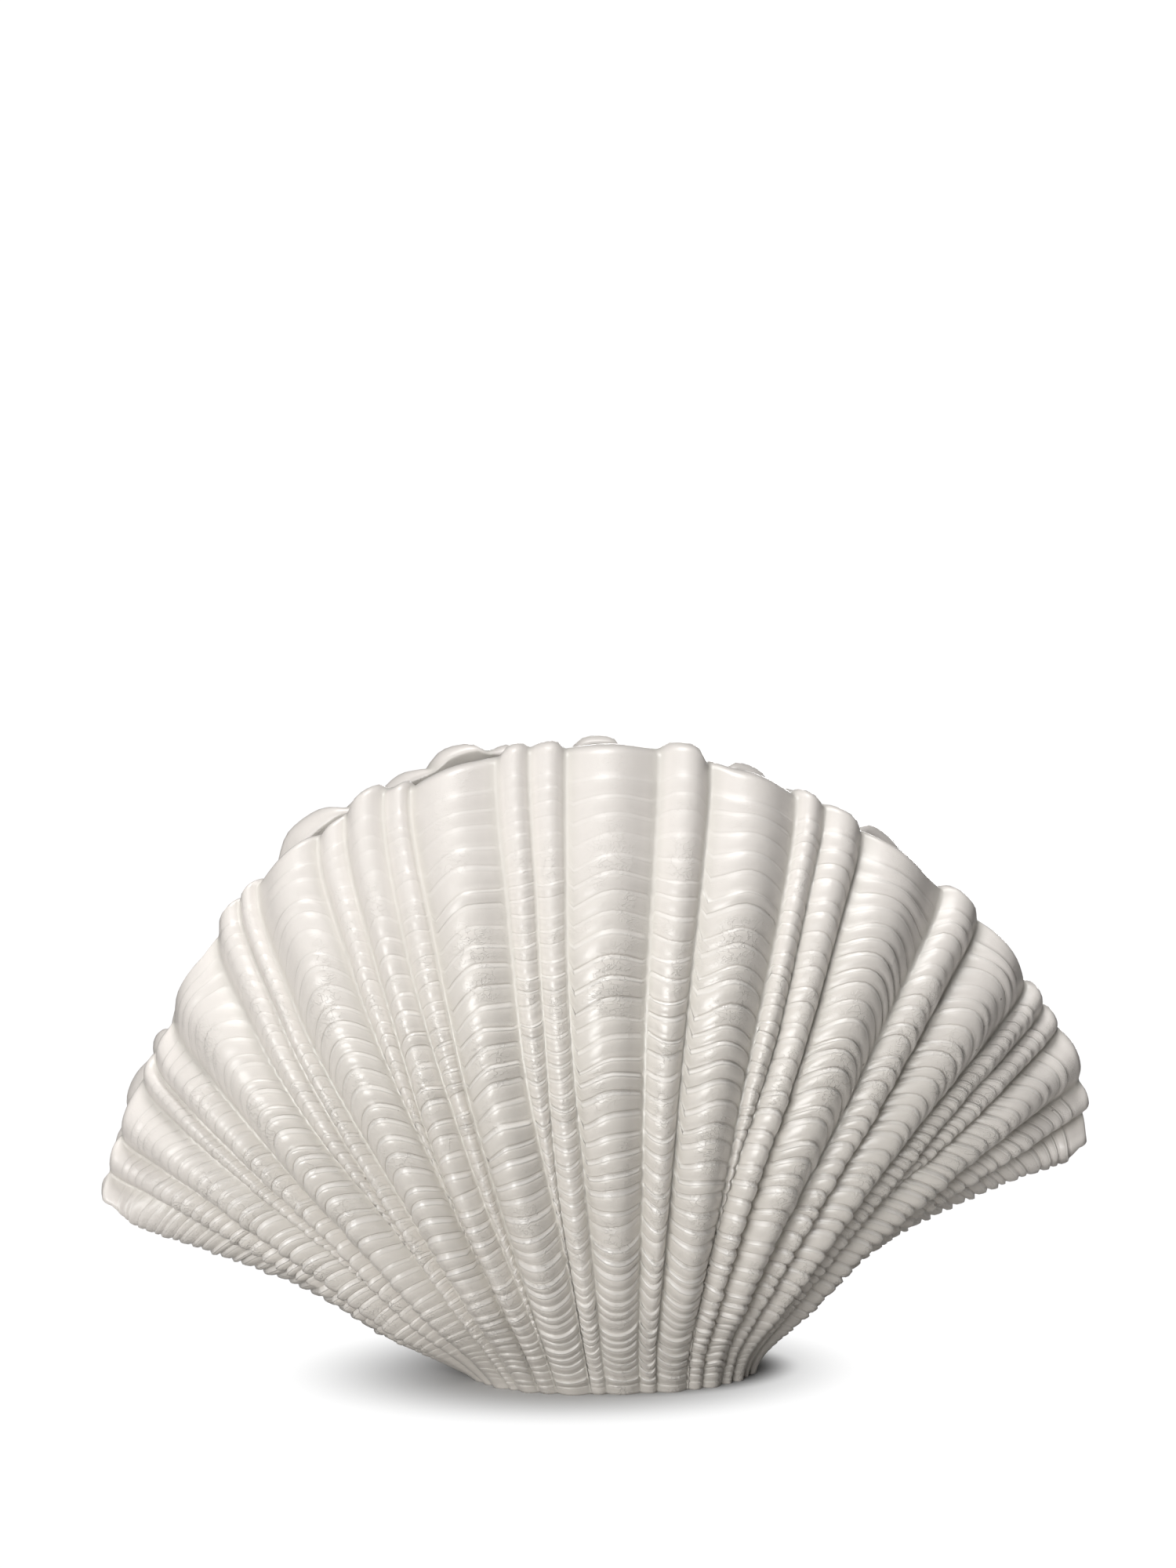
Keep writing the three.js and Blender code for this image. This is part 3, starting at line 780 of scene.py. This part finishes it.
# %% Gloss: satin low down, drier at the rim, a little uneven, under a thin soft coat
SATIN, DRY, UNEVEN = 0.34, 0.55, 0.06
DRY_RANGE = (0.6, 0.95)
UNEVEN_SCALE, UNEVEN_RANGE = 35.0, (0.35, 0.7)
GLASS_IOR, COAT_WEIGHT, COAT_ROUGHNESS = 1.5, 0.6, 0.3

patchy = ramp(noise(UNEVEN_SCALE, 2.0), *UNEVEN_RANGE, -UNEVEN, UNEVEN)
feed(shader.inputs["Roughness"], arithmetic("ADD", ramp(climb_value, *DRY_RANGE, SATIN, DRY), patchy))
shader.inputs["IOR"].default_value = GLASS_IOR
shader.inputs["Coat Weight"].default_value = COAT_WEIGHT
shader.inputs["Coat Roughness"].default_value = COAT_ROUGHNESS

mesh.materials.append(glaze)
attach(vase, "root")
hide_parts("shell_vase")
print("nodes in the glaze:", len(tree.nodes))

# %% [markdown]
# ## Floor, backdrop and light
# The photograph has a white sweep, with only a soft shadow round the foot, and soft light from the front
# left and from above. A lit floor would turn grey far away. So the floor that the camera sees is lit paper
# near the foot, painted grey there as a painted shadow, and fades to white around it. The painted shadow is
# darkest where the foot touches it. Light that bounces on to the vase comes from a plain grey paper. The
# world works the same way: white to the camera and nearly dark to the vase.

# %% A wide flat floor
FLOOR_REACH = 6.0
floor_mesh = bpy.data.meshes.new("studio_floor")
corners = [(-FLOOR_REACH, -FLOOR_REACH, 0), (FLOOR_REACH, -FLOOR_REACH, 0),
           (FLOOR_REACH, FLOOR_REACH, 0), (-FLOOR_REACH, FLOOR_REACH, 0)]
floor_mesh.from_pydata(corners, [], [(0, 1, 2, 3)])
floor = bpy.data.objects.new("studio_floor", floor_mesh)
bpy.context.scene.collection.objects.link(floor)
print("floor:", 2 * FLOOR_REACH, "m across")

# %% Ovals on the floor: round the shadow, and round the foot
SHADOW_SCALE, SHADOW_SHIFT = (9.6, 12.5), 0.09
FOOT_SCALE, FOOT_OVAL_SHIFT = (20.4, 29.4), -0.26

paper = bpy.data.materials.new("white_paper_with_painted_shadow")
paper.use_nodes = True
tree = paper.node_tree
tree.nodes.clear()
spot = node("ShaderNodeTexCoord")


def oval_distance(scale, shift):
    """The length of (scale * x + shift, scale * y): 1 on an oval of half width 1 / scale, less inside."""
    mapped, length = node("ShaderNodeMapping"), node("ShaderNodeVectorMath", operation="LENGTH")
    feed(mapped.inputs["Vector"], spot.outputs["Object"])
    mapped.inputs["Scale"].default_value = (*scale, 1.0)
    mapped.inputs["Location"].default_value = (shift, 0.0, 0.0)
    feed(length.inputs[0], mapped.outputs[0])
    return length.outputs["Value"]


from_shadow = oval_distance(SHADOW_SCALE, SHADOW_SHIFT)
from_foot = oval_distance(FOOT_SCALE, FOOT_OVAL_SHIFT)
print("foot oval, half sizes in mm:", [round(1000 / scale) for scale in FOOT_SCALE])

# %% White paper, with a painted shadow round the foot
NEAR_SHADOW_GREY, CONTACT_SHADOW_GREY, BOUNCE_GREY = 0.55, 0.25, (0.45, 0.44, 0.43, 1)
CONTACT_FROM, CONTACT_BY = 0.85, 1.2
SHADOW_FROM, SHADOW_BY = 0.3, 1.05
WHITE = 1.05


def mixed_shader(share, first, second):
    """A shader between two others."""
    made = node("ShaderNodeMixShader")
    for socket, item in zip(made.inputs, (share, first.outputs[0], second.outputs[0])):
        feed(socket, item)
    return made


near, far = node("ShaderNodeBsdfDiffuse"), node("ShaderNodeEmission")
bounced = node("ShaderNodeBsdfDiffuse")
# Painted shadow: the paper near the foot is grey, and darker still where the foot touches it.
painted_contact_shadow = ramp(from_foot, CONTACT_FROM, CONTACT_BY, CONTACT_SHADOW_GREY, NEAR_SHADOW_GREY, "LINEAR")
feed(near.inputs["Color"], painted_contact_shadow)
far.inputs["Strength"].default_value = WHITE
bounced.inputs["Color"].default_value = BOUNCE_GREY
past_contact = ramp(from_foot, CONTACT_FROM, CONTACT_BY)
whiteness = arithmetic("MULTIPLY", past_contact, ramp(from_shadow, SHADOW_FROM, SHADOW_BY))
seen = mixed_shader(whiteness, near, far)
choice = mixed_shader(node("ShaderNodeLightPath").outputs["Is Camera Ray"], bounced, seen)
feed(node("ShaderNodeOutputMaterial").inputs["Surface"], choice.outputs[0])
floor_mesh.materials.append(paper)
print("nodes in the paper:", len(tree.nodes))

# %% World
WORLD_SEEN, WORLD_LIGHT = 1.1, 0.02
world = bpy.data.worlds.new("studio_world")
world.use_nodes = True
tree = world.node_tree
sky, sky_ray = tree.nodes["Background"], node("ShaderNodeLightPath")
sky.inputs["Color"].default_value = (1, 1, 1, 1)
sky_strength = ramp(sky_ray.outputs["Is Camera Ray"], 0.0, 1.0, WORLD_LIGHT, WORLD_SEEN, "LINEAR")
feed(sky.inputs["Strength"], sky_strength)
bpy.context.scene.world = world
bpy.context.scene.view_settings.view_transform = "Standard"
print("world:", WORLD_SEEN, "to the camera and", WORLD_LIGHT, "to the vase")

# %% [markdown]
# Three soft boxes light the vase. The front one stands to the left and low, so that each rib has a lit
# flank and a shaded one. The top one whitens the shoulders and makes the shadow under the belly. A weak one
# behind, close to the floor, keeps the back from going dark. Higher or stronger, it made the far lip a
# white blot.

# %% Lamps
LAMP_TARGET = (0, 0, 0.1)


def lamp(name, position, width, height, power):
    """A rectangular soft box at a position in metres, aimed at the vase."""
    data = bpy.data.lights.new(name, "AREA")
    data.shape = "RECTANGLE"
    data.size, data.size_y, data.energy = width, height, power
    made = bpy.data.objects.new(name, data)
    bpy.context.scene.collection.objects.link(made)
    made.location = position
    direction = Vector(position) - Vector(LAMP_TARGET)
    made.rotation_euler = direction.to_track_quat("Z", "Y").to_euler()
    return made


lamps = [
    lamp("front_lamp", (-0.60, -1.13, 0.40), 0.7, 0.7, 12.4),
    lamp("top_lamp", (-0.10, -0.07, 2.0), 0.9, 0.9, 25.0),
    lamp("back_lamp", (0.5, 1.5, 0.2), 0.9, 0.3, 9.0),
]
print("lamps:", {item.name: round(item.data.energy, 1) for item in lamps})
